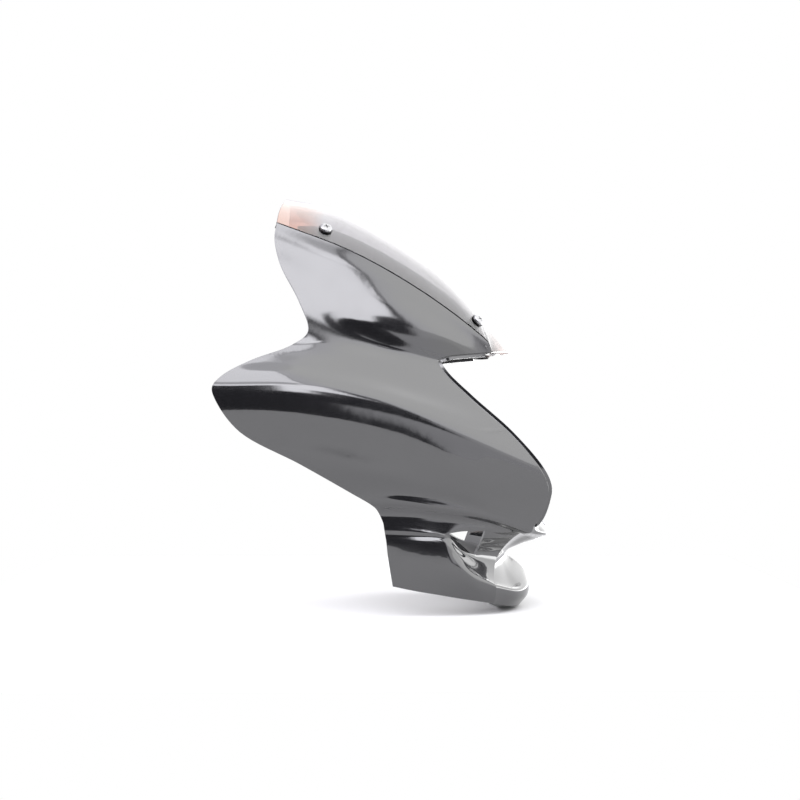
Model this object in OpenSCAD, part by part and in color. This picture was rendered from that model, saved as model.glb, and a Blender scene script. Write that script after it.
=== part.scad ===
// Upper fairing of a small naked motorcycle: a moulded cowl around the headlight, with a tinted
// screen. +X is forward, +Y is the rider's left, +Z is up, and Y = 0 is the plane of symmetry.
// The origin is the middle of the two upper stay bolts.

/* [Cowl] */
// Length from the wing tips to the chin
cowl_length = 337; // [300:1:380]
// Width across the wing tips
cowl_width = 312; // [280:1:350]
// Height from the lower lip to the rear corners of the screen seam
cowl_height = 389.5; // [350:0.5:430]
// Thickness of the moulded wall
wall = 3; // [2.4:0.1:3.6]
// Depth of the step that turns in around the headlight opening
rim_step = 4.5; // [4:0.1:6]
// Width of the flange inside that step
rim_flange = 4; // [3:0.1:6]
// Depth of the grooves between the ribs at the front of the scoops
rib_depth = 1.2; // [0.8:0.1:1.6]

/* [Screen] */
// Thickness of the screen
screen_t = 3; // [2.5:0.1:4]
// Angle between the screen at its seam and the horizontal
screen_edge_angle = 50; // [40:1:58]
// Width of the land that carries the screen
land_w = 27; // [24:0.5:32]
// Gap between the screen and the land, which holds the flanges of the well nuts
seat_gap = 2; // [1.8:0.1:2.4]
// Gap between the screen's edge and the seam
seam_gap = 1.3; // [1.2:0.1:2]

/* [Screen screws] */
// Place of the rear screws along the seam, from 0 at its rear end to 1 at its front end
rear_screw_at = 0.13; // [0.12:0.01:0.3]
// Place of the front screws along the seam
front_screw_at = 0.71; // [0.55:0.01:0.72]
// Distance of the screws in from the seam
screw_in = 17; // [14:0.5:18]
// Nominal diameter of the screws
screw_d = 5; // [4:0.1:6]
// Diameter of the pan heads
head_d = 12.5; // [11:0.1:14]
// Height of the pan heads
head_h = 3.2; // [2.5:0.1:4]
// Length of the screws under the head
screw_len = 18; // [16:0.5:22]
// Diameter of the washers
washer_d = 13.5; // [13:0.1:15]
// Thickness of the washers
washer_t = 1; // [0.6:0.1:1.5]
// Diameter of the well nuts' bodies
well_nut_d = 10; // [9.5:0.1:11]
// Diameter of the well nuts' flanges
well_flange_d = 13.5; // [13:0.1:14.5]
// Length of the well nuts below their flanges
well_nut_len = 14; // [12:0.5:16]
// Length of the threaded brass inserts in the well nuts
insert_len = 7; // [5:0.5:9]

/* [Stay mounts] */
// Distance between the middles of the two upper stay grommets
stay_span = 190; // [180:1:200]
// Distance of the lower stay grommets' middles in from the outside of the skirt
low_stay_in = 19; // [17:1:26]
// Place of the lower stay bolts ahead of the upper ones
low_stay_x = 14; // [4:1:24]
// Depth of the lower stay bolts below the upper ones
low_stay_drop = 162; // [156:1:166]
// Clear bore of the steel sleeves
sleeve_bore = 6.5; // [5.5:0.1:7]
// Outer diameter of the sleeves
sleeve_d = 9; // [8.5:0.1:10]
// Length of the sleeves
sleeve_len = 12; // [11:0.5:14]
// Outer diameter of the grommets
grommet_d = 20; // [18:0.5:22]
// Diameter of the grommets' waist, which fills the eyes of the lugs
grommet_waist_d = 14; // [12.5:0.5:16]
// Thickness of the grommets, over both flanges
grommet_t = 10; // [9:0.5:11]
// Thickness of the lugs
lug_t = 4; // [3:0.5:5]
// Width and height of the lugs
lug_w = 28; // [26:1:32]

/* [Chin screw] */
// Diameter of the chin screw
chin_screw_d = 4; // [3:0.1:4.5]
// Diameter of the chin screw's head
chin_head_d = 9; // [7.5:0.1:9.5]
// Height of the chin screw's head
chin_head_h = 2.6; // [2:0.1:3]
// Length of the chin screw under its head
chin_screw_len = 7; // [5.5:0.1:7.5]
// Diameter of the boss that it cuts its thread in
chin_boss_d = 8; // [7:0.1:8.5]

/* [Hidden] */
SIDES = [["left", 1], ["right", -1]];
ENDS = [["rear", rear_screw_at], ["front", front_screw_at]];
STAYS = ["upper", "lower"];

// The guide points are drawn for a cowl of this length, width and height
DRAWN = [337, 312, 389.5];
// Smallest length that counts as one
eps = 0.01;
$fn = 48;

function lerp(a, b, t) = a + (b - a) * t;
function unit(v) = v / max(norm(v), 1e-9);
function flip(p) = [p[0], -p[1], p[2]];

// One guide point, as X, half-width and Z on the drawing
function at(x, w, z) = [
    x * cowl_length / DRAWN[0],
    w * cowl_width / DRAWN[1],
    z * cowl_height / DRAWN[2]
];

// Centripetal Catmull-Rom curve through pts, for u from 0 to 1
function knot(a, b) = max(sqrt(norm(b - a)), eps);
function span(p0, p1, p2, p3, t) =
    let (
        d0 = knot(p0, p1), d1 = knot(p1, p2), d2 = knot(p2, p3),
        m1 = ((p1 - p0) / d0 - (p2 - p0) / (d0 + d1) + (p2 - p1) / d1) * d1,
        m2 = ((p2 - p1) / d1 - (p3 - p1) / (d1 + d2) + (p3 - p2) / d2) * d1
    )
    (2 * t ^ 3 - 3 * t ^ 2 + 1) * p1 + (t ^ 3 - 2 * t ^ 2 + t) * m1
    + (3 * t ^ 2 - 2 * t ^ 3) * p2 + (t ^ 3 - t ^ 2) * m2;
function curve(pts, u) =
    let (
        n = len(pts) - 1,
        k = min(floor(u * n), n - 1),
        p1 = pts[k], p2 = pts[k + 1],
        p0 = k > 0 ? pts[k - 1] : 2 * p1 - p2,
        p3 = k < n - 1 ? pts[k + 2] : 2 * p2 - p1
    )
    span(p0, p1, p2, p3, u * n - k);

// Guide curves down the side of the cowl. Each runs forward from the rear edge to the front rim.
seam = [at(-122, 106, 175), at(-48, 101, 147), at(18, 94.5, 110.5), at(71.5, 88, 72.5), at(90, 85.5, 55.5),
    at(91.5, 85, 48)];
shoulder = [at(-124, 110, 159), at(-50.5, 105.5, 132.5), at(16.5, 99, 97), at(61.5, 91, 66),
    at(80, 87, 47)];
ear = [at(-118.5, 113, 134), at(-60.5, 110.5, 111.5), at(-3.5, 107, 88), at(40.5, 99, 64),
    at(62.5, 91, 45.5)];
neck = [at(-100, 117.5, 98), at(-63, 114, 86.5), at(-26.5, 111, 73), at(13, 104, 57),
    at(47.5, 94.5, 43.5)];
valley = [at(-90.5, 120.5, 67.5), at(-60, 114.5, 61), at(-28.5, 108.5, 55), at(5, 103, 47),
    at(37.5, 95.5, 39)];
wing_root = [at(-106, 124.5, 54), at(-69.5, 121.5, 49), at(-34, 117, 42), at(3.5, 109, 34),
    at(43, 98.5, 27.5)];
wing_top = [at(-144, 138, 39), at(-93.5, 136, 34), at(-43, 129, 25), at(10, 118, 12), at(69.5, 105, 1)];
wing_edge = [at(-171, 151, 24), at(-106, 147, 22), at(-41.5, 138, 12), at(30.5, 126, -8),
    at(108.5, 110, -34)];
ridge = [at(-180.5, 156, 12.5), at(-99.5, 150, 12), at(-20, 139, -3), at(60.5, 126, -34),
    at(139, 110, -69.5)];
under_ridge = [at(-177.5, 155, 0), at(-95.5, 148.5, -8), at(-14.5, 137, -22), at(67, 122.5, -54),
    at(147, 105, -86.5)];
flank = [at(-155.5, 144.5, -30.5), at(-81.5, 137.5, -37), at(-5, 128.5, -50), at(71.5, 117.5, -73.5),
    at(146, 98, -101)];
low_flank = [at(-98, 131, -62.5), at(-39, 126.5, -68), at(19.5, 118.5, -79), at(83, 107.5, -96.5),
    at(141.5, 88, -117)];
chin_top = [at(-49.5, 117, -91), at(-5.5, 114.5, -91), at(40, 109.5, -98), at(88.5, 101, -110.5),
    at(135, 84, -127)];
crease = [at(-28, 112, -104), at(5, 111.5, -103.5), at(34, 109, -107), at(58, 105.5, -110.5),
    at(88, 99, -118), at(132, 82, -133.5)];
leaf = [at(-22.5, 106, -110), at(12, 104.5, -112.5), at(38, 101.5, -116.5), at(60, 98.5, -119.5),
    at(88, 92.5, -124), at(126, 78, -135)];
scoop_top = [at(-17, 104.5, -122), at(16, 103.5, -126), at(45, 100.5, -132.5), at(62, 97, -131),
    at(88, 91, -131), at(121.5, 75, -135)];
scoop_back = [at(-16, 104.5, -128), at(18, 103.5, -131), at(46.5, 100, -135.5), at(61, 89, -150),
    at(79, 73, -157), at(101, 54, -160)];
scoop_lip = [at(-15, 104, -134), at(18, 103, -135), at(45.5, 100.5, -138.5), at(56, 98, -152),
    at(71.5, 91, -168), at(95, 78, -185)];
scoop_rim = [at(-14, 104, -140), at(18, 103.5, -140), at(44.5, 101.5, -142), at(53.5, 100, -155),
    at(70, 96.5, -171.5), at(96.5, 85, -186)];
skirt = [at(-12, 103, -158), at(17, 103, -160.5), at(40, 101.5, -166.5), at(56, 99.5, -175),
    at(75, 95, -185), at(96.5, 84, -196)];
hem = [at(-7.5, 102, -185), at(16, 101, -190), at(38, 98.5, -194), at(56, 95.5, -197.5),
    at(75, 90.5, -201), at(94.5, 82, -205)];

// Guide curves around the front, from the ends of the same curves to the plane of symmetry
chin_top_front = [at(135, 84, -127), at(145, 57, -127), at(149, 29, -127), at(148.5, 0, -127)];
crease_front = [at(132, 82, -133.5), at(150, 57, -137), at(155.5, 29, -138), at(156.5, 0, -138)];
leaf_front = [at(126, 78, -135), at(141.5, 54, -140), at(143.5, 27, -145), at(142.5, 0, -147)];
scoop_top_front = [at(121.5, 75, -135), at(127.5, 50, -140), at(127.5, 24, -150), at(127, 0, -154)];
scoop_back_front = [at(101, 54, -160), at(107, 34, -160.5), at(112, 16, -161), at(113.5, 0, -161)];
scoop_lip_front = [at(95, 78, -185), at(114.5, 58, -191), at(122, 38, -185), at(126, 0, -170)];
scoop_rim_front = [at(96.5, 85, -186), at(120.5, 62, -193), at(133.5, 34, -190.5), at(136.5, 0, -182.5)];
skirt_front = [at(96.5, 84, -196), at(120.5, 61, -201.5), at(134, 32, -201.5), at(136.5, 0, -197.5)];
hem_front = [at(94.5, 82, -205), at(114.5, 59, -211), at(125, 31, -213.5), at(126.5, 0, -214.5)];

SIDE = [seam, shoulder, ear, neck, valley, wing_root, wing_top, wing_edge, ridge, under_ridge, flank,
    low_flank, chin_top, crease, leaf, scoop_top, scoop_back, scoop_lip, scoop_rim, skirt, hem];
FRONT = [chin_top_front, crease_front, leaf_front, scoop_top_front, scoop_back_front, scoop_lip_front,
    scoop_rim_front, skirt_front, hem_front];
// Places in SIDE of the curves that the openings follow
CHIN = 12;
SCOOP_TOP = 15;
SCOOP_BACK = 16;
// Divisions between each guide curve and the next
SPLIT = [2, 2, 2, 2, 2, 2, 2, 2, 2, 2, 2, 2, 2, 2, 1, 6, 1, 1, 2, 2];
// Divisions along the side, and where the columns round the front lie
COLS = 18;
ROUND = [0.05, 0.1, 0.22, 0.36, 0.5, 0.64, 0.82, 1];
// Columns between which the scoops open into the cowl
SCOOP_COLS = [8, 14];
// Column at which the land starts, and the columns over which its rear end rounds off
LAND_COL = 1;
LAND_END = [0.6, 2.4];
// How far the hem turns in along the skirt and under the chin, and how far it drops there
hem_turn_side = 4;
hem_turn_front = 30;
hem_drop = 1.5;
// Step down from the land to the seam, and rise of the shelf behind the chin
land_step = 0.5;
shelf_rise = 0.5;

// Clearances: under a seated piece, over a well nut's flange, where the screen bends away, around a
// screw's shank, and around a pressed or threaded piece
seat_clear = 0.3;
flange_clear = 0.8;
screw_clear = 0.75;
press_clear = 0.05;
// Wall of the threaded inserts, flange of the sleeves, shelves of the lugs, and floor of the chin's boss
insert_wall = 1.25;
sleeve_flange_t = 1.2;
sleeve_flange_d = grommet_d - 4;
shelf_t = 3;
boss_floor = 1;

// Centre line of the screen, from its rear edge to its front tip
crown = [at(-115, 0, 211), at(-68.5, 0, 201.5), at(-20.5, 0, 179), at(29, 0, 148), at(74.5, 0, 107.5),
    at(122, 0, 51.5)];

// How far the screen's rear edge bows back between the seam and the middle
rear_bow = 2;
// Point of the screen's outer face: s runs forward, t from the seam to the middle
function screen_at(s, t) =
    let (
        a = screen_edge_angle,
        side = curve(seam, s),
        mid = curve(crown, s),
        h = max(cos(a * (1 - t)) - cos(a), 0) / (1 - cos(a)),
        b = sin(a * (1 - t)) / sin(a)
    )
    [lerp(side[0], mid[0], h ^ (rear_bow - s)), side[1] * b, lerp(side[2], mid[2], h)];
function screen_normal(s, t) =
    let (d = eps)
    unit(cross(
        screen_at(min(s + d, 1), t) - screen_at(max(s - d, 0), t),
        screen_at(s, min(t + d, 1)) - screen_at(s, max(t - d, 0))
    ));
// Place across the screen that lies w in from the seam
function in_from_seam(s, w) = w / norm(screen_at(s, 1) - screen_at(s, 0));
// Point of the land, w in from the seam
function land_at(s, w) =
    let (t = in_from_seam(s, w))
    screen_at(s, t) + screen_normal(s, t) * (screen_t + seat_gap);

// All rows of the cowl's outer face at one column, from the first guide curve to the last
function across(pts, split) = [
    for (k = [0 : len(pts) - 2])
        for (i = [0 : split[k] - 1])
            curve(pts, (k + i / split[k]) / (len(pts) - 1)),
    pts[len(pts) - 1]
];
function sum(v, i = 0) = i < len(v) ? v[i] + sum(v, i + 1) : 0;
function row_of(k) = LAND_ROWS + sum([for (i = [0 : 1 : k - 1]) SPLIT[i]]);

LAND_ROWS = 3;
CHIN_ROW = row_of(CHIN);
SCOOP_TOP_ROW = row_of(SCOOP_TOP);
SCOOP_BACK_ROW = row_of(SCOOP_BACK);
HEM_ROW = row_of(len(SIDE) - 1);
MID_COL = COLS + len(ROUND);

side_cols = [for (i = [0 : COLS]) across([for (c = SIDE) curve(c, i / COLS)], SPLIT)];
front_split = [for (k = [CHIN : len(SPLIT) - 1]) SPLIT[k]];
front_cols = [for (v = ROUND) across([for (c = FRONT) curve(c, v)], front_split)];

// Direction, in the side view, that points out of the shell and into the headlight opening
function into_opening(j) =
    let (
        rim = side_cols[COLS],
        d = rim[min(j + 1, len(rim) - 1)] - rim[max(j - 1, 0)]
    )
    unit([-d[2], 0, d[0]]);
// The stepped flange that runs inside the rim of the headlight opening
function rim_step_at(j) = side_cols[COLS][j] + [0, -rim_step, 0];
function rim_flange_at(j) = rim_step_at(j) + into_opening(j) * rim_flange;
// The shelf under the headlight, which carries the flange on across the chin
function shelf_at(i) = front_cols[i][0] + [-2 * rim_step, 0, shelf_rise];

function land_width(i) =
    land_w * sqrt(min(max(i - LAND_END[0], eps) / (LAND_END[1] - LAND_END[0]), 1));

// One point of the outer face on the left half: row j and column i
function skin_at(j, i) =
    let (k = j - LAND_ROWS)
    j == 0 ? land_at(i / COLS, land_width(i))
    : j == 1 ? land_at(i / COLS, land_width(i) / 2)
    : j == 2 ? land_at(i / COLS, seam_gap + land_step)
    : j > HEM_ROW ? skin_at(HEM_ROW, i) + hem_turn(i)
    : i <= COLS ? side_cols[i][k] + rib_at(j, i, side_cols[i][k])
    : j >= CHIN_ROW ? front_cols[i - COLS - 1][j - CHIN_ROW]
    : i == COLS + 1 ? rim_step_at(k)
    : i == COLS + 2 ? rim_flange_at(k)
    : shelf_at(i - COLS - 1);
// Every other row at the front of a scoop lies deeper, which leaves ribs between
function rib_at(j, i, p) =
    j > SCOOP_TOP_ROW && j < SCOOP_BACK_ROW && i > SCOOP_COLS[1]
        ? -(j - SCOOP_TOP_ROW) % 2 * rib_depth * unit([p[0] - skirt[0][0], p[1], 0])
        : [0, 0, 0];
// The hem turns in a little along the skirt and more under the chin
function hem_turn(i) =
    let (f = max(0, i - COLS) / (MID_COL - COLS))
    [-hem_turn_front * f, -hem_turn_side * (1 - f), -hem_drop * f];

// Cells that are wall: row j and column i, counted from the rear edge of either side
function is_wall(j, i) =
    let (m = i < MID_COL ? i : 2 * MID_COL - 1 - i)
    j < 0 || i < 0 || j > HEM_ROW || i >= 2 * MID_COL ? false
    : j < LAND_ROWS ? m >= (j < LAND_ROWS - 1 ? LAND_COL : 0) && m < COLS
    : j < CHIN_ROW - 1 ? m < (j > LAND_ROWS ? COLS + 2 : COLS)
    : j >= SCOOP_TOP_ROW && j < SCOOP_BACK_ROW ? (m < SCOOP_COLS[0] || m >= SCOOP_COLS[1])
    : true;

half_skin = [for (j = [0 : HEM_ROW + 1]) [for (i = [0 : MID_COL]) skin_at(j, i)]];
skin = [for (row = half_skin) concat(row, [for (i = [MID_COL - 1 : -1 : 0]) flip(row[i])])];
cell_normals = [
    for (j = [0 : HEM_ROW]) [
        for (i = [0 : 2 * MID_COL - 1])
            is_wall(j, i)
                ? unit(cross(skin[j + 1][i + 1] - skin[j][i], skin[j + 1][i] - skin[j][i + 1]))
                : [0, 0, 0]
    ]
];
function cell_normal(j, i) = is_wall(j, i) ? cell_normals[j][i] : [0, 0, 0];
function skin_normal(j, i) =
    unit(cell_normal(j, i) + cell_normal(j - 1, i) + cell_normal(j, i - 1) + cell_normal(j - 1, i - 1));

// A closed shell of one wall thickness on the cells of the skin that are wall
module shell() {
    across_n = 2 * MID_COL + 1;
    inner = across_n * (HEM_ROW + 2);
    points = concat(
        [for (row = skin) for (p = row) p],
        [for (j = [0 : HEM_ROW + 1]) for (i = [0 : across_n - 1]) skin[j][i] - wall * skin_normal(j, i)]
    );
    function id(j, i) = j * across_n + i;
    function face(a, b, c, d, i) = i < MID_COL ? [[a, b, c], [a, c, d]] : [[a, b, d], [b, c, d]];
    function edge(a, b, i) = face(b, a, a + inner, b + inner, i);
    faces = [
        for (j = [0 : HEM_ROW]) for (i = [0 : 2 * MID_COL - 1]) if (is_wall(j, i))
            let (a = id(j, i), b = id(j + 1, i), c = id(j + 1, i + 1), d = id(j, i + 1))
            each concat(
                face(a, b, c, d, i),
                [for (f = face(a, b, c, d, i)) [f[2] + inner, f[1] + inner, f[0] + inner]],
                is_wall(j, i - 1) ? [] : edge(a, b, i),
                is_wall(j + 1, i) ? [] : edge(b, c, i),
                is_wall(j, i + 1) ? [] : edge(c, d, i),
                is_wall(j - 1, i) ? [] : edge(d, a, i)
            )
    ];
    polyhedron(points, faces);
}

// Screen, from the seam of one side to the other
SCREEN_COLS = 20;
SCREEN_ROWS = 11;
module screen_shell() {
    rows = [for (k = [-SCREEN_ROWS : SCREEN_ROWS]) k / SCREEN_ROWS];
    function outer_at(s, r) =
        let (
            w = norm(screen_at(s, 1) - screen_at(s, 0)),
            t = max(1 - abs(r), seam_gap / w),
            p = screen_at(s, t)
        )
        r < 0 ? p : flip(p);
    function normal_at(s, r) =
        let (n = screen_normal(s, 1 - abs(r)))
        r < 0 ? n : r > 0 ? flip(n) : unit([n[0], 0, n[2]]);
    cols = [for (i = [0 : SCREEN_COLS]) i / SCREEN_COLS];
    n_row = len(rows);
    inner = n_row * len(cols);
    points = concat(
        [for (s = cols) for (r = rows) outer_at(s, r)],
        [for (s = cols) for (r = rows) outer_at(s, r) + screen_t * normal_at(s, r)]
    );
    function id(i, k) = i * n_row + k;
    faces = concat(
        [for (i = [0 : SCREEN_COLS - 1]) for (k = [0 : n_row - 2])
            let (a = id(i, k), b = id(i + 1, k), c = id(i + 1, k + 1), d = id(i, k + 1))
            each [
                [a, b, c], [a, c, d],
                [c + inner, b + inner, a + inner], [d + inner, c + inner, a + inner]
            ]],
        [for (i = [0 : SCREEN_COLS - 1]) let (a = id(i, 0), b = id(i + 1, 0))
            each [[b, a, a + inner], [b, a + inner, b + inner]]],
        [for (i = [0 : SCREEN_COLS - 1]) let (a = id(i, n_row - 1), b = id(i + 1, n_row - 1))
            each [[a, b, b + inner], [a, b + inner, a + inner]]],
        [for (k = [0 : n_row - 2]) let (a = id(0, k), b = id(0, k + 1))
            each [[a, b, b + inner], [a, b + inner, a + inner]]],
        [for (k = [0 : n_row - 2]) let (a = id(SCREEN_COLS, k), b = id(SCREEN_COLS, k + 1))
            each [[b, a, a + inner], [b, a + inner, b + inner]]]
    );
    polyhedron(points, faces);
}

// Half-width of the skin where a line along Y meets it at x, z
function area2(a, b, x, z) = (b[0] - a[0]) * (z - a[2]) - (b[2] - a[2]) * (x - a[0]);
function width_in(a, b, c, x, z) =
    let (u = area2(b, c, x, z), v = area2(c, a, x, z), w = area2(a, b, x, z), all = u + v + w)
    all != 0 && u / all >= 0 && v / all >= 0 && w / all >= 0
        ? [(u * a[1] + v * b[1] + w * c[1]) / all]
        : [];
function half_width(x, z) =
    [for (j = [LAND_ROWS : HEM_ROW - 1]) for (i = [0 : COLS - 1])
        let (a = skin[j][i], b = skin[j + 1][i], c = skin[j + 1][i + 1], d = skin[j][i + 1])
        each concat(width_in(a, b, c, x, z), width_in(a, c, d, x, z))][0];

// Middle of a stay grommet on the left side, to a whole millimetre
function stay_at(m) =
    m == "upper"
        ? [0, stay_span / 2, 0]
        : [low_stay_x, round(half_width(low_stay_x, -low_stay_drop) - low_stay_in), -low_stay_drop];

// Places a child that stands on the screen's outer face, with +Z out of the screen
module on_screen(s) {
    t = in_from_seam(s, screw_in);
    p = screen_at(s, t);
    n = -screen_normal(s, t);
    translate(p) rotate([0, acos(n[2]), atan2(n[1], n[0])]) children();
}
module on_side(y) {
    if (y > 0) children();
    else mirror([0, 1, 0]) children();
}
// Places a child on a stay bolt's axis, with +Z pointing out to the side
module on_stay(at_point) {
    translate(at_point) rotate([-90, 0, 0]) children();
}
// Places a child on the chin's front face, with +Z out of it
module on_chin() {
    top = front_cols[len(ROUND) - 1][0];
    nose = front_cols[len(ROUND) - 1][SPLIT[CHIN]];
    slope = atan2(top[2] - nose[2], nose[0] - top[0]);
    translate(front_cols[len(ROUND) - 1][SPLIT[CHIN] / 2]) rotate([0, slope, 0]) children();
}

module tube(outer_d, inner_d, h) {
    difference() {
        cylinder(d = outer_d, h = h);
        translate([0, 0, -1]) cylinder(d = inner_d, h = h + 2);
    }
}
// Domed head on a plain shank, with a cross recess, seated at z = 0
module cross_screw(d, head, height, len) {
    rim = height * 0.35;
    roundness = 0.6;
    slot_w = head * 0.09;
    slot_l = head * 0.46;
    slot_z = height * 0.4;
    difference() {
        rotate_extrude() polygon(concat(
            [[0, 0], [head / 2, 0], [head / 2, rim]],
            [for (a = [15 : 15 : 75]) [head / 2 * cos(a) ^ roundness, rim + (height - rim) * sin(a)]],
            [[0, height]]
        ));
        for (a = [0, 90]) rotate(a)
            translate([-slot_l / 2, -slot_w / 2, slot_z]) cube([slot_l, slot_w, height]);
    }
    translate([0, 0, -len]) cylinder(d = d, h = len + eps);
}

// Heights on the axis of a screen screw, from the screen's outer face
washer_z = seat_clear;
well_top = -(screen_t + flange_clear);
land_top = -(screen_t + seat_gap);
well_bottom = land_top - well_nut_len;

module screen_screw(s, y) {
    color("silver") on_side(y) on_screen(s)
        translate([0, 0, washer_z + washer_t]) cross_screw(screw_d, head_d, head_h, screw_len);
}
module screen_washer(s, y) {
    color([0.15, 0.15, 0.15]) on_side(y) on_screen(s)
        translate([0, 0, washer_z]) tube(washer_d, screw_d + 2 * screw_clear, washer_t);
}
module well_nut(s, y) {
    bore = screw_d + 2 * screw_clear;
    insert_d = screw_d + 2 * insert_wall;
    flange_z = land_top + seat_clear;
    color([0.12, 0.12, 0.12]) on_side(y) on_screen(s) rotate_extrude() polygon([
        [bore / 2, well_top], [well_flange_d / 2, well_top], [well_flange_d / 2, flange_z],
        [well_nut_d / 2, flange_z], [well_nut_d / 2, well_bottom + 1], [well_nut_d / 2 - 1, well_bottom],
        [insert_d / 2 + press_clear, well_bottom], [insert_d / 2 + press_clear, well_bottom + insert_len],
        [bore / 2, well_bottom + insert_len]
    ]);
}
module well_insert(s, y) {
    insert_d = screw_d + 2 * insert_wall;
    color("goldenrod") on_side(y) on_screen(s)
        translate([0, 0, well_bottom]) tube(insert_d, screw_d + 2 * press_clear, insert_len);
}
module stay_grommet(m, y) {
    r = sleeve_d / 2 + press_clear;
    lip = lug_t / 2 + seat_clear / 3;
    color([0.14, 0.14, 0.14]) on_side(y) on_stay(m) rotate_extrude() polygon([
        [r, -grommet_t / 2], [grommet_d / 2 - 1, -grommet_t / 2], [grommet_d / 2, -grommet_t / 2 + 1],
        [grommet_d / 2, -lip], [grommet_waist_d / 2, -lip], [grommet_waist_d / 2, lip], [grommet_d / 2, lip],
        [grommet_d / 2, grommet_t / 2 - 1], [grommet_d / 2 - 1, grommet_t / 2], [r, grommet_t / 2]
    ]);
}
module stay_sleeve(m, y) {
    sleeve_past = (sleeve_len - grommet_t) / 2;
    color("lightgray") on_side(y) on_stay(m) difference() {
        union() {
            translate([0, 0, -sleeve_len / 2]) cylinder(d = sleeve_d, h = sleeve_len);
            translate([0, 0, -sleeve_len / 2 - sleeve_flange_t])
                cylinder(d = sleeve_flange_d, h = sleeve_flange_t + sleeve_past - press_clear);
        }
        translate([0, 0, -sleeve_len]) cylinder(d = sleeve_bore, h = 2 * sleeve_len);
    }
}
module chin_screw() {
    color("silver") on_chin() translate([0, 0, seat_clear])
        cross_screw(chin_screw_d, chin_head_d, chin_head_h, chin_screw_len);
}

// Lug inside the wall: a pad with an eye, on two shelves that run out to the skin
module stay_lug(m) {
    x = m[0];
    y = m[1];
    z = m[2];
    half = lug_w / 2;
    module shelf(at_z) {
        mid_z = at_z + shelf_t / 2;
        outer = [for (u = [half : -half / 2 : -half]) [x + u, half_width(x + u, mid_z) - wall / 2]];
        translate([0, 0, at_z]) linear_extrude(shelf_t)
            polygon(concat([[x - half, y - lug_t / 2], [x + half, y - lug_t / 2]], outer));
    }
    difference() {
        translate([x - half, y - lug_t / 2, z - half]) cube([lug_w, lug_t, lug_w]);
        translate([x, y - lug_t, z]) rotate([-90, 0, 0])
            cylinder(d = grommet_waist_d + 2 * press_clear, h = 2 * lug_t);
    }
    shelf(z - half);
    shelf(z + half - shelf_t);
}

module chin_hole() {
    translate([0, 0, -chin_screw_len])
        cylinder(d = chin_screw_d + 2 * press_clear, h = chin_screw_len + wall);
}

module cowl() {
    color([0.08, 0.08, 0.09]) {
        difference() {
            shell();
            for (e = ENDS) for (side = SIDES) on_side(side[1]) on_screen(e[1])
                translate([0, 0, land_top - 2 * wall])
                    cylinder(d = well_nut_d + 2 * press_clear, h = 3 * wall);
            on_chin() chin_hole();
        }
        on_chin() difference() {
            translate([0, 0, -chin_screw_len - boss_floor])
                cylinder(d = chin_boss_d, h = chin_screw_len + boss_floor - wall / 2);
            chin_hole();
        }
        for (m = STAYS) for (side = SIDES) on_side(side[1]) stay_lug(stay_at(m));
    }
}

module screen() {
    color([0.75, 0.5, 0.35, 0.6]) difference() {
        screen_shell();
        for (e = ENDS) for (side = SIDES) on_side(side[1]) on_screen(e[1])
            translate([0, 0, -2 * screen_t]) cylinder(d = screw_d + 2 * screw_clear, h = 3 * screen_t);
    }
}

cowl();
screen();
for (side = SIDES) {
    y = side[1];
    for (e = ENDS) {
        place = str(e[0], "_", side[0]);
        screen_screw(e[1], y);
        screen_washer(e[1], y);
        well_nut(e[1], y);
        well_insert(e[1], y);
    }
    for (m = STAYS) {
        place = str(m, "_", side[0]);
        stay_grommet(stay_at(m), y);
        stay_sleeve(stay_at(m), y);
    }
}
chin_screw();
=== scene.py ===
"""Looks of the motorcycle fairing.

The cowl and the screen are drawn again from their guide curves, on a finer grid than the solids have.
"""
import math
import bpy
import numpy as np
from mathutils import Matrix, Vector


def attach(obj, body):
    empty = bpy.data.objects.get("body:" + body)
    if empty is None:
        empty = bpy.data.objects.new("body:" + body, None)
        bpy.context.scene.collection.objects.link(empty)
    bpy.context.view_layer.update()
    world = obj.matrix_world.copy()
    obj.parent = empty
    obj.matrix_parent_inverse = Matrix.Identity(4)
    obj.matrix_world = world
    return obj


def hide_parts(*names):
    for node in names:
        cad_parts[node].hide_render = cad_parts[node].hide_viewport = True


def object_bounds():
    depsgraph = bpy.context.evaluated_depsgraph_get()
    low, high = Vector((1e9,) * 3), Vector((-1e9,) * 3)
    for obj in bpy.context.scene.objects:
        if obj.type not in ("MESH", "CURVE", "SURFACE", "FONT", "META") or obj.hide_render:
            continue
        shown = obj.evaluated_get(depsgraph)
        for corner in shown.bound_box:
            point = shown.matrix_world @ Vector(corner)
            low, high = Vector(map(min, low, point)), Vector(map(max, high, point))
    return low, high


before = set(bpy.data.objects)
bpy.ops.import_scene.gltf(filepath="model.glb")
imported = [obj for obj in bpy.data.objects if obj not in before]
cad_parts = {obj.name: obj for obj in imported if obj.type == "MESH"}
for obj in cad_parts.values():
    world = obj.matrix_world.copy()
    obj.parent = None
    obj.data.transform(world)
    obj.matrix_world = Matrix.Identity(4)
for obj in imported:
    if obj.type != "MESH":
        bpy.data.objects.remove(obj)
cad_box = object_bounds()
MM = 0.001

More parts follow.
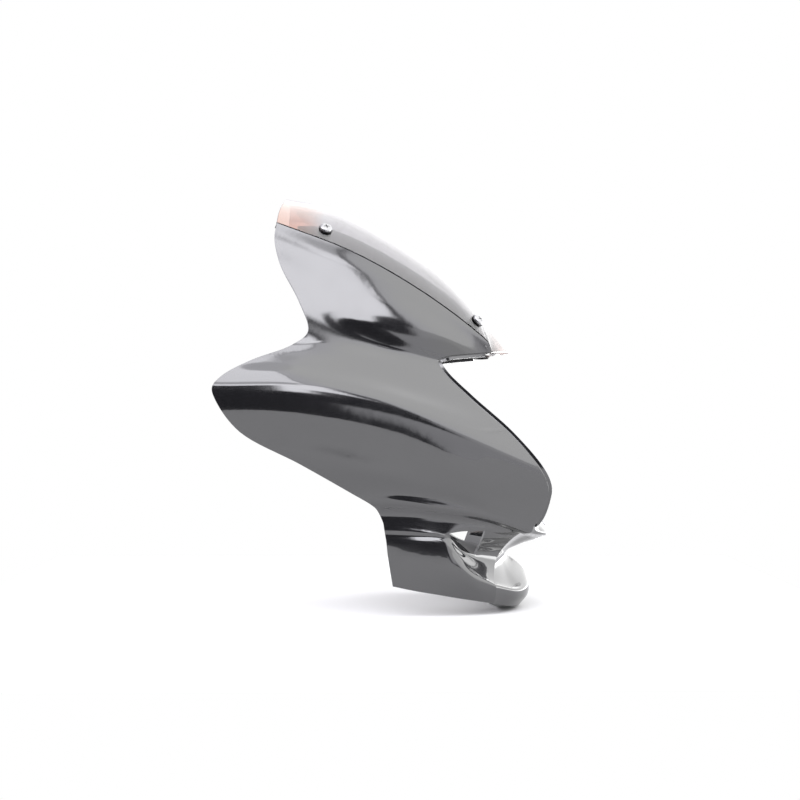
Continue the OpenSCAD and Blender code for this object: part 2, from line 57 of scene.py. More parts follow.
# Sizes in millimetres and degrees, as in the part's source
WALL, RIM_STEP, RIM_FLANGE = 3.0, 4.5, 4.0
SCREEN_T, EDGE_ANGLE, LAND_W, SEAT_GAP, SEAM_GAP = 3.0, 50.0, 27.0, 2.0, 1.3
HEM_SIDE, HEM_FRONT, HEM_DROP, SHELF_RISE, LAND_STEP = 4.0, 30.0, 1.5, 0.5, 0.5
REAR_BOW, RIB_DEPTH = 2.0, 1.2
STAYS = [(0.0, 95.0, 0.0), (14.0, 84.0, -162.0)]
LUG_T, LUG_W, SHELF_T, EYE_D = 4.0, 28.0, 3.0, 14.1
BOSS_D, BOSS_HOLE_D, BOSS_TOP, BOSS_HOLE_END, BOSS_END = 8.0, 4.1, -1.5, -7.0, -8.0

# Of this script alone, in millimetres: how far the boss's two parts lap, and the widths of the rounded
# edges, with the share of it that the cowl's rims get
BOSS_LAP, COWL_ROUND, SCREEN_ROUND, RIM_SHARE = 0.2, 0.8, 0.7, 0.6
CIRCLE_POINTS, SHELF_POINTS = 48, 9
# Where the screen's tint ramp, with painted backlight at both ends, starts and ends along X, in metres to
# both sides
SCREEN_HALF = 0.125

# Guide points of the cowl: X, half-width and Z
SIDE = [
    [(-122, 106, 175), (-48, 101, 147), (18, 94.5, 110.5), (71.5, 88, 72.5),
     (90, 85.5, 55.5), (91.5, 85, 48)],
    [(-124, 110, 159), (-50.5, 105.5, 132.5), (16.5, 99, 97), (61.5, 91, 66), (80, 87, 47)],
    [(-118.5, 113, 134), (-60.5, 110.5, 111.5), (-3.5, 107, 88), (40.5, 99, 64), (62.5, 91, 45.5)],
    [(-100, 117.5, 98), (-63, 114, 86.5), (-26.5, 111, 73), (13, 104, 57), (47.5, 94.5, 43.5)],
    [(-90.5, 120.5, 67.5), (-60, 114.5, 61), (-28.5, 108.5, 55), (5, 103, 47), (37.5, 95.5, 39)],
    [(-106, 124.5, 54), (-69.5, 121.5, 49), (-34, 117, 42), (3.5, 109, 34), (43, 98.5, 27.5)],
    [(-144, 138, 39), (-93.5, 136, 34), (-43, 129, 25), (10, 118, 12), (69.5, 105, 1)],
    [(-171, 151, 24), (-106, 147, 22), (-41.5, 138, 12), (30.5, 126, -8), (108.5, 110, -34)],
    [(-180.5, 156, 12.5), (-99.5, 150, 12), (-20, 139, -3), (60.5, 126, -34), (139, 110, -69.5)],
    [(-177.5, 155, 0), (-95.5, 148.5, -8), (-14.5, 137, -22), (67, 122.5, -54), (147, 105, -86.5)],
    [(-155.5, 144.5, -30.5), (-81.5, 137.5, -37), (-5, 128.5, -50), (71.5, 117.5, -73.5),
     (146, 98, -101)],
    [(-98, 131, -62.5), (-39, 126.5, -68), (19.5, 118.5, -79), (83, 107.5, -96.5), (141.5, 88, -117)],
    [(-49.5, 117, -91), (-5.5, 114.5, -91), (40, 109.5, -98), (88.5, 101, -110.5), (135, 84, -127)],
    [(-28, 112, -104), (5, 111.5, -103.5), (34, 109, -107), (58, 105.5, -110.5),
     (88, 99, -118), (132, 82, -133.5)],
    [(-22.5, 106, -110), (12, 104.5, -112.5), (38, 101.5, -116.5), (60, 98.5, -119.5),
     (88, 92.5, -124), (126, 78, -135)],
    [(-17, 104.5, -122), (16, 103.5, -126), (45, 100.5, -132.5), (62, 97, -131),
     (88, 91, -131), (121.5, 75, -135)],
    [(-16, 104.5, -128), (18, 103.5, -131), (46.5, 100, -135.5), (61, 89, -150),
     (79, 73, -157), (101, 54, -160)],
    [(-15, 104, -134), (18, 103, -135), (45.5, 100.5, -138.5), (56, 98, -152),
     (71.5, 91, -168), (95, 78, -185)],
    [(-14, 104, -140), (18, 103.5, -140), (44.5, 101.5, -142), (53.5, 100, -155),
     (70, 96.5, -171.5), (96.5, 85, -186)],
    [(-12, 103, -158), (17, 103, -160.5), (40, 101.5, -166.5), (56, 99.5, -175),
     (75, 95, -185), (96.5, 84, -196)],
    [(-7.5, 102, -185), (16, 101, -190), (38, 98.5, -194), (56, 95.5, -197.5),
     (75, 90.5, -201), (94.5, 82, -205)],
]
FRONT = [
    [(135, 84, -127), (145, 57, -127), (149, 29, -127), (148.5, 0, -127)],
    [(132, 82, -133.5), (150, 57, -137), (155.5, 29, -138), (156.5, 0, -138)],
    [(126, 78, -135), (141.5, 54, -140), (143.5, 27, -145), (142.5, 0, -147)],
    [(121.5, 75, -135), (127.5, 50, -140), (127.5, 24, -150), (127, 0, -154)],
    [(101, 54, -160), (107, 34, -160.5), (112, 16, -161), (113.5, 0, -161)],
    [(95, 78, -185), (114.5, 58, -191), (122, 38, -185), (126, 0, -170)],
    [(96.5, 85, -186), (120.5, 62, -193), (133.5, 34, -190.5), (136.5, 0, -182.5)],
    [(96.5, 84, -196), (120.5, 61, -201.5), (134, 32, -201.5), (136.5, 0, -197.5)],
    [(94.5, 82, -205), (114.5, 59, -211), (125, 31, -213.5), (126.5, 0, -214.5)],
]
CROWN = [(-115, 0, 211), (-68.5, 0, 201.5), (-20.5, 0, 179),
         (29, 0, 148), (74.5, 0, 107.5), (122, 0, 51.5)]

# The cowl's grid, as in the part's source: rows between guide curves, columns, and where the openings
# and the land's rounded rear end lie
SPLIT = [2] * 14 + [1, 6, 1, 1, 2, 2]
COLS, LAND_ROWS, LAND_COL, SCOOP_COLS = 18, 3, 1, (8, 14)
LAND_END = (0.6, 2.4)
ROUND = [0, 0.05, 0.1, 0.22, 0.36, 0.5, 0.64, 0.82, 1]
MID = COLS + len(ROUND) - 1
CHIN, SCOOP_TOP, SCOOP_BACK, SKIRT = 12, 15, 16, 19
GUIDE_ROW = LAND_ROWS + np.concatenate([[0], np.cumsum(SPLIT)])
CHIN_ROW, SCOOP_TOP_ROW, SCOOP_BACK_ROW, HEM_ROW = (
    GUIDE_ROW[k] for k in (CHIN, SCOOP_TOP, SCOOP_BACK, -1))
# Fine lines in each cell of that grid
FINE_ROWS, FINE_LOW_ROWS, FINE_RIBS, FINE_COLS, FINE_RIM, FINE_FRONT = 8, 6, 12, 5, 3, 4


def unit(v):
    return v / np.maximum(np.linalg.norm(v, axis=-1, keepdims=True), 1e-9)


def curve(pts, u):
    """Centripetal Catmull-Rom curve: pts (n, ..., 3) and u (r,) give (r, ..., 3)."""
    pts, u = np.asarray(pts, float), np.asarray(u, float)
    n = len(pts) - 1
    k = np.minimum((u * n).astype(int), n - 1)
    ext = np.concatenate([[2 * pts[0] - pts[1]], pts, [2 * pts[-1] - pts[-2]]])
    p0, p1, p2, p3 = ext[k], ext[k + 1], ext[k + 2], ext[k + 3]
    t = (u * n - k).reshape((-1,) + (1,) * (pts.ndim - 1))

    def knot(a, b):
        return np.maximum(np.sqrt(np.linalg.norm(b - a, axis=-1, keepdims=True)), 0.01)

    d0, d1, d2 = knot(p0, p1), knot(p1, p2), knot(p2, p3)
    m1 = ((p1 - p0) / d0 - (p2 - p0) / (d0 + d1) + (p2 - p1) / d1) * d1
    m2 = ((p2 - p1) / d1 - (p3 - p1) / (d1 + d2) + (p3 - p2) / d2) * d1
    return ((2 * t ** 3 - 3 * t ** 2 + 1) * p1 + (t ** 3 - 2 * t ** 2 + t) * m1
            + (3 * t ** 2 - 2 * t ** 3) * p2 + (t ** 3 - t ** 2) * m2)


def screen_at(s, t):
    """Points of the screen's outer face: s runs forward, t from the seam to the middle."""
    s, t = np.broadcast_arrays(np.asarray(s, float), np.asarray(t, float))
    a = math.radians(EDGE_ANGLE)
    side = curve(SIDE[0], s.ravel()).reshape(s.shape + (3,))
    mid = curve(CROWN, s.ravel()).reshape(s.shape + (3,))
    h = np.maximum(np.cos(a * (1 - t)) - math.cos(a), 0) / (1 - math.cos(a))
    b = np.sin(a * (1 - t)) / math.sin(a)
    return np.stack([side[..., 0] + (mid[..., 0] - side[..., 0]) * h ** (REAR_BOW - s),
                     side[..., 1] * b,
                     side[..., 2] + (mid[..., 2] - side[..., 2]) * h], -1)


def screen_normal(s, t):
    """Unit normals of the screen's outer face, pointing inward."""
    d = 0.01
    s, t = np.broadcast_arrays(np.asarray(s, float), np.asarray(t, float))
    return unit(np.cross(
        screen_at(np.minimum(s + d, 1), t) - screen_at(np.maximum(s - d, 0), t),
        screen_at(s, np.minimum(t + d, 1)) - screen_at(s, np.maximum(t - d, 0))))


def land_at(s, w):
    """Points of the land under the screen, w from the seam."""
    t = w / np.linalg.norm(screen_at(s, 1) - screen_at(s, 0), axis=-1)
    return screen_at(s, t) + screen_normal(s, t) * (SCREEN_T + SEAT_GAP)


def lerp(a, b, t):
    return a + (b - a) * t


def index(values, v):
    return int(np.flatnonzero(np.isclose(values, v))[0])


def skin_grid():
    """Outer face of the left half as (rows, columns, 3), with the coarse row and column of each line."""
    rows = [i / 2 for i in range(2 * LAND_ROWS)]
    for k, n in enumerate(SPLIT):
        steps = FINE_ROWS if k < SCOOP_TOP - 1 else FINE_RIBS if k == SCOOP_TOP else FINE_LOW_ROWS
        rows += [GUIDE_ROW[k] + n * i / steps for i in range(steps)]
    rows = np.array(rows + [HEM_ROW, HEM_ROW + 0.5, HEM_ROW + 1], float)
    cols = [i / FINE_COLS for i in range(COLS * FINE_COLS)]
    cols += [COLS + i / FINE_RIM for i in range(2 * FINE_RIM)]
    cols += [COLS + 2 + i / FINE_FRONT for i in range((MID - COLS - 2) * FINE_FRONT)]
    cols = np.array(cols + [MID], float)
    grid = np.zeros((len(rows), len(cols), 3))
    side_cols = cols[cols <= COLS]
    last = len(side_cols) - 1
    body = (rows >= LAND_ROWS) & (rows <= HEM_ROW)
    guide = np.interp(rows[body], GUIDE_ROW, range(len(SIDE)))
    side_guides = np.stack([curve(c, side_cols / COLS) for c in SIDE])
    grid[body, :last + 1] = curve(side_guides, guide / (len(SIDE) - 1))
    ribs = (cols > SCOOP_COLS[1]) & (cols <= COLS)
    for j in np.flatnonzero((rows > SCOOP_TOP_ROW) & (rows < SCOOP_BACK_ROW)):
        p = grid[j, ribs]
        fold = 1 - abs((rows[j] - SCOOP_TOP_ROW) % 2 - 1)
        depth = RIB_DEPTH * fold * np.minimum(cols[ribs] - SCOOP_COLS[1], 1)
        grid[j, ribs] = p - depth[:, None] * unit((p - [SIDE[SKIRT][0][0], 0, 0]) * [1, 1, 0])
    for j in np.flatnonzero(rows < LAND_ROWS):
        end = np.sqrt(np.clip((side_cols - LAND_END[0]) / (LAND_END[1] - LAND_END[0]), 0.001, 1))
        land = land_at(side_cols / COLS, lerp(LAND_W * end, SEAM_GAP + LAND_STEP, min(rows[j] / 2, 1)))
        grid[j, :last + 1] = land + max(rows[j] - 2, 0) * (curve(SIDE[0], side_cols / COLS) - land)
    edge = grid[:, last]
    run = np.zeros_like(edge)
    run[body] = np.gradient(edge[body], axis=0)
    into = unit(np.stack([-run[:, 2], 0 * run[:, 1], run[:, 0]], -1))
    fronts = np.flatnonzero(cols > COLS)
    low = np.flatnonzero((rows >= CHIN_ROW) & (rows <= HEM_ROW))
    v = np.interp(cols[fronts], range(COLS, MID + 1), ROUND)
    guide = np.interp(rows[low], GUIDE_ROW[CHIN:], range(len(FRONT)))
    grid[np.ix_(low, fronts)] = curve(np.stack([curve(c, v) for c in FRONT]), guide / (len(FRONT) - 1))
    chin_top = {round(c, 6): grid[low[0], n] for c, n in zip(cols[fronts], fronts)}
    shelf_row = index(rows, CHIN_ROW - 1)

    def rim(j, c):
        step = edge[j] + [0, -RIM_STEP, 0]
        flange = step + into[j] * RIM_FLANGE
        if c <= COLS + 1:
            return edge[j] + (c - COLS) * (step - edge[j])
        if c <= COLS + 2:
            return step + (c - COLS - 1) * (flange - step)
        shelf = chin_top[round(c, 6)] + np.array([-2 * RIM_STEP, 0, SHELF_RISE])
        return flange + min(c - COLS - 2, 1) * (shelf - flange)

    for j in np.flatnonzero(body & (rows < CHIN_ROW)):
        f = max(rows[j] - (CHIN_ROW - 1), 0)
        for n in fronts:
            c = cols[n]
            if f == 0:
                grid[j, n] = rim(j, c) if c <= COLS + 2 or j == shelf_row else 0
            elif c <= COLS + 1:
                far = (1 - f) * rim(shelf_row, COLS + 1) + f * chin_top[COLS + 1]
                grid[j, n] = edge[j] + (c - COLS) * (far - edge[j])
            else:
                grid[j, n] = (1 - f) * rim(shelf_row, c) + f * chin_top[round(c, 6)]
    turn = np.maximum(0, cols - COLS) / (MID - COLS)
    hem = grid[index(rows, HEM_ROW)]
    for j in np.flatnonzero(rows > HEM_ROW):
        inward = np.stack([-HEM_FRONT * turn, -HEM_SIDE * (1 - turn), -HEM_DROP * turn], -1)
        grid[j] = hem + (rows[j] - HEM_ROW) * inward
    return grid, rows, cols


def is_wall(j, m):
    """Whether the sheet covers the coarse grid's cell at row j and column m, where an opening may lie."""
    if j < LAND_ROWS:
        return (LAND_COL if j < LAND_ROWS - 1 else 0) <= m < COLS
    if j < CHIN_ROW - 1:
        return m < (COLS + 2 if j > LAND_ROWS else COLS)
    if SCOOP_TOP_ROW <= j < SCOOP_BACK_ROW:
        return m < SCOOP_COLS[0] or m >= SCOOP_COLS[1]
    return True


def solid_grid(outer, inner, wall):
    """Points and faces of the closed sheet between two grids where wall is true, and its rims' edges."""
    nj, ni = outer.shape[:2]
    pts = np.concatenate([outer.reshape(-1, 3), inner.reshape(-1, 3)])
    back = nj * ni
    faces, rims = [], set()
    pad = np.pad(wall, 1)
    for j, i in zip(*np.nonzero(wall)):
        a, b = j * ni + i, (j + 1) * ni + i
        c, d = b + 1, a + 1
        faces += [(d, c, b, a), (a + back, b + back, c + back, d + back)]
        for p, q, goes_on in ((a, b, pad[j + 1, i]), (b, c, pad[j + 2, i + 1]),
                              (c, d, pad[j + 1, i + 2]), (d, a, pad[j, i + 1])):
            if not goes_on:
                faces.append((p, q, q + back, p + back))
                rims |= {(min(p, q), max(p, q)), (min(p, q) + back, max(p, q) + back)}
    return pts, faces, rims


def mesh_object(name, pts, faces, material, bevel, width):
    """A mesh in millimetres. bevel gives edges, as pairs of points, their share of the round's width."""
    used = np.unique(np.concatenate([np.ravel(f) for f in faces]))
    new = np.full(len(pts), -1)
    new[used] = range(len(used))
    mesh = bpy.data.meshes.new(name)
    mesh.from_pydata((np.asarray(pts)[used] * MM).tolist(), [], [[int(new[p]) for p in f] for f in faces])
    mesh.validate()
    mesh.polygons.foreach_set("use_smooth", [True] * len(mesh.polygons))
    obj = bpy.data.objects.new(name, mesh)
    bpy.context.scene.collection.objects.link(obj)
    mesh.materials.append(material)
    weight = {tuple(sorted((int(new[p]), int(new[q])))): w for (p, q), w in bevel.items()}
    layer = mesh.attributes.new("bevel_weight_edge", "FLOAT", "EDGE")
    layer.data.foreach_set("value", [weight.get(tuple(sorted(e.vertices)), 0.0) for e in mesh.edges])
    mod = obj.modifiers.new("rounded", "BEVEL")
    mod.limit_method = "WEIGHT"
    mod.width = width * MM
    mod.segments = 2
    mod.use_clamp_overlap = True
    mod.harden_normals = True
    return obj


def prism(outline, hole, place, depth):
    """Points and faces of a plate placed by place(p, q, r): an outline, with a hole of as many points."""
    n = len(outline)
    ring = [place(p, q, r) for r in (0, depth) for p, q in (*outline, *(hole or ()))]
    step = len(ring) // 2
    faces = [(k, (k + 1) % n, step + (k + 1) % n, step + k) for k in range(n)]
    if hole:
        for k in range(n):
            m = (k + 1) % n
            faces += [(n + k, n + m, m, k), (step + k, step + m, step + n + m, step + n + k),
                      (n + m, n + k, step + n + k, step + n + m)]
    else:
        faces += [tuple(range(n))[::-1], tuple(range(step, step + n))]
    return ring, faces


def node(nodes, kind, inputs=(), **values):
    n = nodes.new("ShaderNode" + kind)
    for key, value in values.items():
        setattr(n, key, value)
    for key, value in dict(inputs).items():
        n.inputs[key].default_value = value
    return n


def new_material(name):
    mat = bpy.data.materials.new(name)
    mat.use_nodes = True
    tree = mat.node_tree
    return mat, tree, tree.nodes["Principled BSDF"]


def noisy(tree, bsdf, scale, socket, low, high, detail=4.0):
    """Noise from low to high in the object's own space, fed to a socket of the shader if one is named."""
    coord = node(tree.nodes, "TexCoord")
    noise = node(tree.nodes, "TexNoise", {"Scale": scale, "Detail": detail})
    span = node(tree.nodes, "MapRange", {"From Min": 0.3, "From Max": 0.7, "To Min": low, "To Max": high})
    tree.links.new(coord.outputs["Object"], noise.inputs["Vector"])
    tree.links.new(noise.outputs["Fac"], span.inputs["Value"])
    if socket:
        tree.links.new(span.outputs["Result"], bsdf.inputs[socket])
    return span.outputs["Result"]


def bumpy(tree, bsdf, scale, distance, strength, sockets=("Normal",)):
    """Fine unevenness of the surface, distance in metres."""
    height = noisy(tree, bsdf, scale, None, 0, 1, detail=2.0)
    bump = node(tree.nodes, "Bump", {"Strength": strength, "Distance": distance})
    tree.links.new(height, bump.inputs["Height"])
    for s in sockets:
        tree.links.new(bump.outputs["Normal"], bsdf.inputs[s])


def gloss_black():
    mat, tree, bsdf = new_material("gloss_black")
    bsdf.inputs["Base Color"].default_value = (0.012, 0.012, 0.014, 1)
    bsdf.inputs["Specular IOR Level"].default_value = 1.0
    bsdf.inputs["Coat Weight"].default_value = 1.0
    bsdf.inputs["Coat IOR"].default_value = 1.9
    noisy(tree, bsdf, 55, "Roughness", 0.1, 0.16)
    noisy(tree, bsdf, 300, "Coat Roughness", 0.02, 0.05)
    bumpy(tree, bsdf, 90, 0.0004, 0.05, ("Normal", "Coat Normal"))
    return mat


def tinted_screen():
    """Smoked plastic with a hard coat, its colour made warmer at the rear edge and at the front tip as
    painted backlight, where light from behind shines through it.
    """
    mat, tree, bsdf = new_material("tinted_screen")
    coord = node(tree.nodes, "TexCoord")
    axes = node(tree.nodes, "SeparateXYZ")
    backlit_smoke_ramp = node(tree.nodes, "ValToRGB")
    along = node(tree.nodes, "MapRange", {"From Min": -SCREEN_HALF, "From Max": SCREEN_HALF})
    cloud = noisy(tree, bsdf, 30, None, -0.01, 0.01)
    shift = node(tree.nodes, "Math", operation="ADD")
    # The warm stops at both ends are painted backlight, the glow of light shining through the screen from
    # behind, not a tint of the plastic
    backlight_tint_stops = ((0.0, (0.70, 0.42, 0.34)), (0.11, (0.70, 0.45, 0.38)), (0.19, (0.70, 0.68, 0.72)),
             (0.85, (0.70, 0.69, 0.71)), (1.0, (0.76, 0.52, 0.43)))
    for k, (place, colour) in enumerate(backlight_tint_stops):
        stop = backlit_smoke_ramp.color_ramp.elements[k] if k < 2 else backlit_smoke_ramp.color_ramp.elements.new(place)
        stop.position = place
        stop.color = (*colour, 1)
    tree.links.new(coord.outputs["Object"], axes.inputs[0])
    tree.links.new(axes.outputs["X"], along.inputs["Value"])
    tree.links.new(along.outputs["Result"], shift.inputs[0])
    tree.links.new(cloud, shift.inputs[1])
    tree.links.new(shift.outputs[0], backlit_smoke_ramp.inputs["Fac"])
    tree.links.new(backlit_smoke_ramp.outputs["Color"], bsdf.inputs["Base Color"])
    bsdf.inputs["Transmission Weight"].default_value = 1.0
    bsdf.inputs["IOR"].default_value = 1.49
    bsdf.inputs["Coat Weight"].default_value = 1.0
    bsdf.inputs["Coat IOR"].default_value = 1.7
    bsdf.inputs["Coat Roughness"].default_value = 0.02
    noisy(tree, bsdf, 40, "Roughness", 0.01, 0.04)
    return mat


def metal(name, colour, low, high):
    mat, tree, bsdf = new_material(name)
    bsdf.inputs["Base Color"].default_value = (*colour, 1)
    bsdf.inputs["Metallic"].default_value = 1.0
    noisy(tree, bsdf, 400, "Roughness", low, high)
    bumpy(tree, bsdf, 1200, 0.0001, 0.2)
    return mat


def rubber(name, grey, low, high):
    mat, tree, bsdf = new_material(name)
    bsdf.inputs["Base Color"].default_value = (grey, grey, grey, 1)
    noisy(tree, bsdf, 250, "Roughness", low, high)
    bumpy(tree, bsdf, 900, 0.0002, 0.3)
    return mat


MATERIALS = {
    "gloss_black": gloss_black(),
    "tinted_screen": tinted_screen(),
    "screw_steel": metal("screw_steel", (0.5, 0.5, 0.51), 0.22, 0.36),
    "black_washer": rubber("black_washer", 0.02, 0.35, 0.5),
    "black_rubber": rubber("black_rubber", 0.018, 0.55, 0.75),
    "brass": metal("brass", (0.74, 0.53, 0.25), 0.22, 0.38),
    "sleeve_steel": metal("sleeve_steel", (0.56, 0.56, 0.57), 0.25, 0.42),
}
SLOT_OF = {"screen_screw": "screw_steel", "chin_screw": "screw_steel", "screen_washer": "black_washer",
           "well_nut": "black_rubber", "stay_grommet": "black_rubber", "well_insert": "brass",
           "stay_sleeve": "sleeve_steel", "cowl": "gloss_black", "screen": "tinted_screen"}
for name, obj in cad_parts.items():
    kind = max((k for k in SLOT_OF if name.startswith(k)), key=len)
    for s in obj.material_slots:
        s.material = MATERIALS[SLOT_OF[kind]]

# Camera at the photograph's place, turned a little forward of square on
CAMERA_AT, CAMERA_TURN, LENS, SENSOR = (-0.0304, -1.5397, 0), -1.2, 65.25, 36
camera = bpy.data.objects.new("camera", bpy.data.cameras.new("camera"))
camera.location = CAMERA_AT
camera.rotation_euler = (math.radians(90), 0, math.radians(CAMERA_TURN))
camera.data.lens = LENS
camera.data.sensor_width = SENSOR
bpy.context.scene.collection.objects.link(camera)
bpy.context.scene.camera = camera

# Cowl
half, rows, cols = skin_grid()
outer = np.concatenate([half, half[:, -2::-1] * [1, -1, 1]], 1)
row_cell = (rows[:-1] + 1e-6).astype(int)
col_cell = (cols[:-1] + 1e-6).astype(int)
left_wall = np.array([[is_wall(j, m) for m in col_cell] for j in row_cell])
wall = np.concatenate([left_wall, left_wall[:, ::-1]], 1)
a, b, c, d = outer[:-1, :-1], outer[1:, :-1], outer[1:, 1:], outer[:-1, 1:]
cell_normal = unit(np.cross(c - a, b - d)) * wall[..., None]
total = np.zeros_like(outer)
for dj in (0, 1):
    for di in (0, 1):
        total[dj:dj + cell_normal.shape[0], di:di + cell_normal.shape[1]] += cell_normal
inner = outer - WALL * unit(total)
shell_pts, faces, rims = solid_grid(outer, inner, wall)
pts = list(shell_pts)
bevel = {e: RIM_SHARE for e in rims}
across = outer.shape[1]
seam_row, hem_row, rim_col = index(rows, LAND_ROWS), index(rows, HEM_ROW), index(cols, COLS)
for j in (seam_row, hem_row):
    for i in range(across - 1):
        bevel[(j * across + i, j * across + i + 1)] = 1.0
for i in (rim_col, across - 1 - rim_col):
    for j in range(seam_row, hem_row):
        bevel[(j * across + i, (j + 1) * across + i)] = 1.0


def width_at(x, z):
    """Half-width of the outer face where a line along Y meets it at x, z."""
    side = half[seam_row:hem_row + 1, :rim_col + 1]
    quads = [side[:-1, :-1], side[1:, :-1], side[1:, 1:], side[:-1, 1:]]
    for p, q, r in ((0, 1, 2), (0, 2, 3)):
        p, q, r = quads[p], quads[q], quads[r]

        def area(m, n):
            return (n[..., 0] - m[..., 0]) * (z - m[..., 2]) - (n[..., 2] - m[..., 2]) * (x - m[..., 0])

        u, v, w = area(q, r), area(r, p), area(p, q)
        whole = np.where(u + v + w == 0, 1, u + v + w)
        hit = (u / whole >= 0) & (v / whole >= 0) & (w / whole >= 0)
        if hit.any():
            k = tuple(np.argwhere(hit)[0])
            return (u[k] * p[k][1] + v[k] * q[k][1] + w[k] * r[k][1]) / whole[k]
    raise ValueError("no wall here")


def add_plate(outline, hole, place, low, high):
    """Adds a plate between two heights to the cowl, with its rims rounded."""
    first = len(pts)
    ring, plate = prism(outline, hole, lambda p, q, r: place(p, q, low + r), high - low)
    faces.extend(tuple(first + k for k in f) for f in plate)
    pts.extend(ring)
    loops = [len(outline)] + ([len(hole)] if hole else [])
    for level in (0, 1):
        start = first + level * sum(loops)
        for n in loops:
            bevel.update({(start + k, start + (k + 1) % n): RIM_SHARE for k in range(n)})
            start += n


def round_outline(d):
    turn = [2 * math.pi * k / CIRCLE_POINTS for k in range(CIRCLE_POINTS)]
    return [(d / 2 * math.cos(a), d / 2 * math.sin(a)) for a in turn]


def square_outline(width):
    """A square with as many points as a circle, from the circle around it."""
    half_w = width / 2
    return [tuple(max(-half_w, min(half_w, v)) for v in p) for p in round_outline(width * math.sqrt(2))]


# Each stay's lug, with two shelves that carry it on the wall
for x, y, z in STAYS:
    for side in (1, -1):
        add_plate(square_outline(LUG_W), round_outline(EYE_D),
                  lambda p, q, r: (x + p, side * r, z - side * q), y - LUG_T / 2, y + LUG_T / 2)
        for low in (z - LUG_W / 2, z + LUG_W / 2 - SHELF_T):
            reach = [(u, width_at(x + u, low + SHELF_T / 2) - WALL / 2)
                     for u in np.linspace(LUG_W / 2, -LUG_W / 2, SHELF_POINTS)]
            edge = [(-LUG_W / 2, y - LUG_T / 2), (LUG_W / 2, y - LUG_T / 2)] + reach
            add_plate(edge[::side], None, lambda p, q, r: (x + p, side * q, r), low, low + SHELF_T)

# The chin screw's boss stands behind the middle of the chin's front face
chin_rows = (CHIN_ROW, CHIN_ROW + SPLIT[CHIN] / 2, GUIDE_ROW[CHIN + 1])
chin = half[[index(rows, r) for r in chin_rows], -1]
out = unit(np.array([chin[0][2] - chin[2][2], 0, chin[2][0] - chin[0][0]]))
up = np.array([-out[2], 0, out[0]])


def on_chin(p, q, r):
    return tuple(chin[1] + r * out + p * np.cross(up, out) + q * up)


add_plate(round_outline(BOSS_D), round_outline(BOSS_HOLE_D), on_chin, BOSS_HOLE_END - BOSS_LAP, BOSS_TOP)
add_plate(round_outline(BOSS_D), None, on_chin, BOSS_END, BOSS_HOLE_END)
cowl = mesh_object("cowl_shell", pts, faces, MATERIALS["gloss_black"], bevel, COWL_ROUND)
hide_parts("cowl")
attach(cowl, "root")

# Screen, whose normal is taken a little beside its middle line, where two sides meet
ALONG, HALF_ACROSS, NORMAL_END = 80, 30, 0.98
s = np.linspace(0, 1, ALONG + 1)[:, None]
t = 1 - np.abs(np.linspace(-1, 1, 2 * HALF_ACROSS + 1))[None, :]
width = np.linalg.norm(screen_at(s, 1) - screen_at(s, 0), axis=-1)
t = np.maximum(t + 0 * s, SEAM_GAP / width)
turned = np.where(np.arange(2 * HALF_ACROSS + 1) < HALF_ACROSS, 1, -1)
mirror = turned[None, :, None] * np.array([0, 1, 0]) + [1, 0, 1]
face = screen_at(s, t) * mirror
under = screen_normal(s, np.minimum(t, NORMAL_END)) * mirror
under[:, HALF_ACROSS, 1] = 0
under = unit(under)
whole = np.ones((ALONG, 2 * HALF_ACROSS), bool)
screen_pts, screen_faces, screen_rims = solid_grid(face, face + SCREEN_T * under, whole)
screen = mesh_object("screen_sheet", screen_pts, screen_faces, MATERIALS["tinted_screen"],
                     {e: 1.0 for e in screen_rims}, SCREEN_ROUND)
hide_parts("screen")
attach(screen, "root")

# Floor, in metres, paler to the camera than to the part's reflections
FLOOR_SIZE, FLOOR_GAP, FLOOR_GREY, FLOOR_SEEN = 0.92, 0.0005, 0.55, 0.88
bpy.ops.mesh.primitive_plane_add(size=FLOOR_SIZE, location=(0, 0, cad_box[0][2] - FLOOR_GAP))
floor = bpy.context.object
floor.name = "floor"
mat, tree, bsdf = new_material("floor")
pale = node(tree.nodes, "Mix", {"A": FLOOR_GREY, "B": FLOOR_SEEN})
tree.links.new(node(tree.nodes, "LightPath").outputs["Is Camera Ray"], pale.inputs["Factor"])
tree.links.new(pale.outputs[0], bsdf.inputs["Base Color"])
bsdf.inputs["Roughness"].default_value = 0.9
bsdf.inputs["Specular IOR Level"].default_value = 0.0
floor.data.materials.append(mat)

# Studio light: broad soft panels around a dark front, as a world that the camera sees as white
world = bpy.data.worlds.new("studio")
bpy.context.scene.world = world
world.use_nodes = True
tree = world.node_tree
tree.nodes.clear()
link = tree.links.new


def maths(op, *values):
    n = node(tree.nodes, "Math", operation=op)
    for k, v in enumerate(values):
        if isinstance(v, (int, float)):
            n.inputs[k].default_value = v
        else:
            link(v, n.inputs[k])
    return n.outputs[0]


def ramp(value, low, high):
    """0 below low and 1 above high, or the other way round where low is above high."""
    n = node(tree.nodes, "MapRange", {"From Min": low, "From Max": high}, interpolation_type="SMOOTHSTEP")
    link(value, n.inputs["Value"])
    return n.outputs["Result"]


coord = node(tree.nodes, "TexCoord")
axes = node(tree.nodes, "SeparateXYZ")
link(coord.outputs["Generated"], axes.inputs[0])
dx, dy, dz = axes.outputs
elevation = maths("MULTIPLY", maths("ARCSINE", dz), 180 / math.pi)
azimuth = maths("MULTIPLY", maths("ARCTAN2", dx, maths("MULTIPLY", dy, -1)), 180 / math.pi)


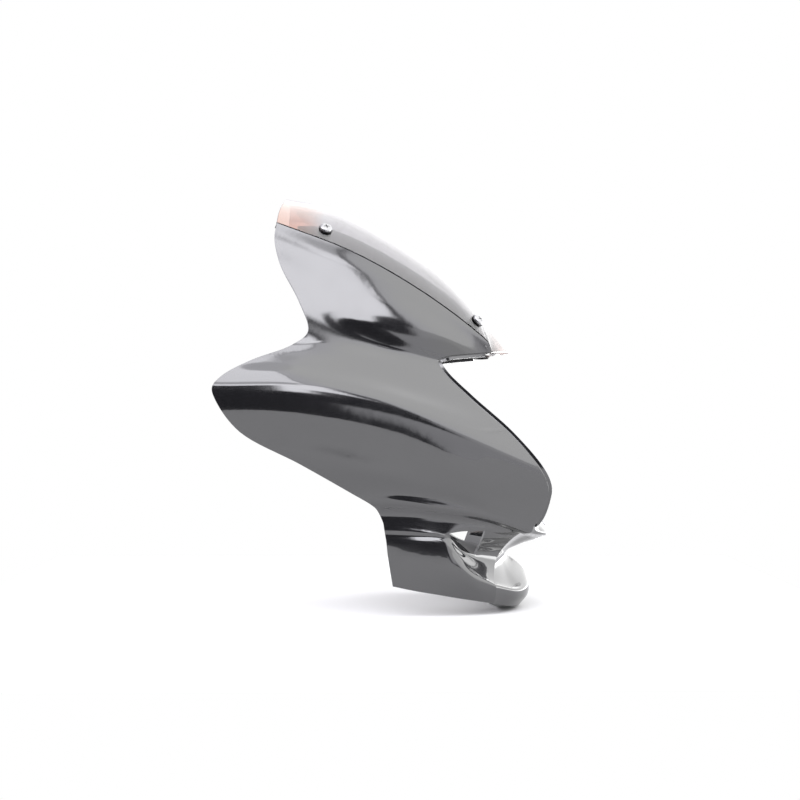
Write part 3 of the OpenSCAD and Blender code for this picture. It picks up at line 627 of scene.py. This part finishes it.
def panel(az0, az1, el0, el1, level, soft):
    """A panel between two azimuths, 0 towards the camera and 90 towards +X, and two elevations."""
    window = maths("MULTIPLY", ramp(azimuth, az0 - soft, az0 + soft), ramp(azimuth, az1 + soft, az1 - soft))
    window = maths("MULTIPLY", window, ramp(elevation, el0 - soft, el0 + soft))
    window = maths("MULTIPLY", window, ramp(elevation, el1 + soft, el1 - soft))
    return maths("MULTIPLY", window, level)


# Two azimuths, two elevations, the level, and the softness of the edges, with the angles in degrees
PANELS = [
    (-70, 6, 22, 29, 3.9, 1.5),
    (6, 13, 3, 29, 3.9, 2),
    (13, 20, 11, 29, 3.9, 2),
    (-70, 13, 29, 40, 1.8, 1.5),
    (13, 22, 29, 35, 3.9, 1.5),
    (13, 22, 35, 40, 1.8, 1.5),
    (-70, 17, 40, 77, 3.4, 1.5),
    (18, 190, 40, 77, 1.8, 1.5),
    (24, 190, 3, 40, 1.8, 2),
    (22, 80, -8, 3, 1.1, 2),
    (14.5, 80, -50, -8, 0.95, 1.5),
    (-200, 200, 77, 100, 1.6, 1.5),
    (-190, -70, -5, 77, 1.0, 4),
    (-190, -80, -40, -5, 0.6, 6),
    (80, 190, -40, 3, 4.4, 3),
]
# Level between the panels, and the tint of what comes from the camera's side, which fades out by azimuth
DARK_LEVEL, COOL_TINT, COOL_FADE = 0.03, (0.955, 0.95, 1.0, 1), (20, 40)
light = DARK_LEVEL
for p in PANELS:
    light = maths("ADD", panel(*p), light)
path = node(tree.nodes, "LightPath")
seen = maths("MAXIMUM", path.outputs["Is Camera Ray"], path.outputs["Is Transmission Ray"])
# Sockets 6, 7 and 2 are the colour mix's A, B and result
tint = node(tree.nodes, "Mix", data_type="RGBA")
tint.inputs[6].default_value = COOL_TINT
tint.inputs[7].default_value = (1, 1, 1, 1)
link(maths("MAXIMUM", seen, ramp(azimuth, *COOL_FADE)), tint.inputs["Factor"])
strength = node(tree.nodes, "Mix", {"B": 1.0})
link(seen, strength.inputs["Factor"])
link(light, strength.inputs["A"])
background = node(tree.nodes, "Background")
output = node(tree.nodes, "OutputWorld")
link(tint.outputs[2], background.inputs["Color"])
link(strength.outputs[0], background.inputs["Strength"])
link(background.outputs[0], output.inputs["Surface"])

bpy.context.scene.view_settings.view_transform = "Standard"
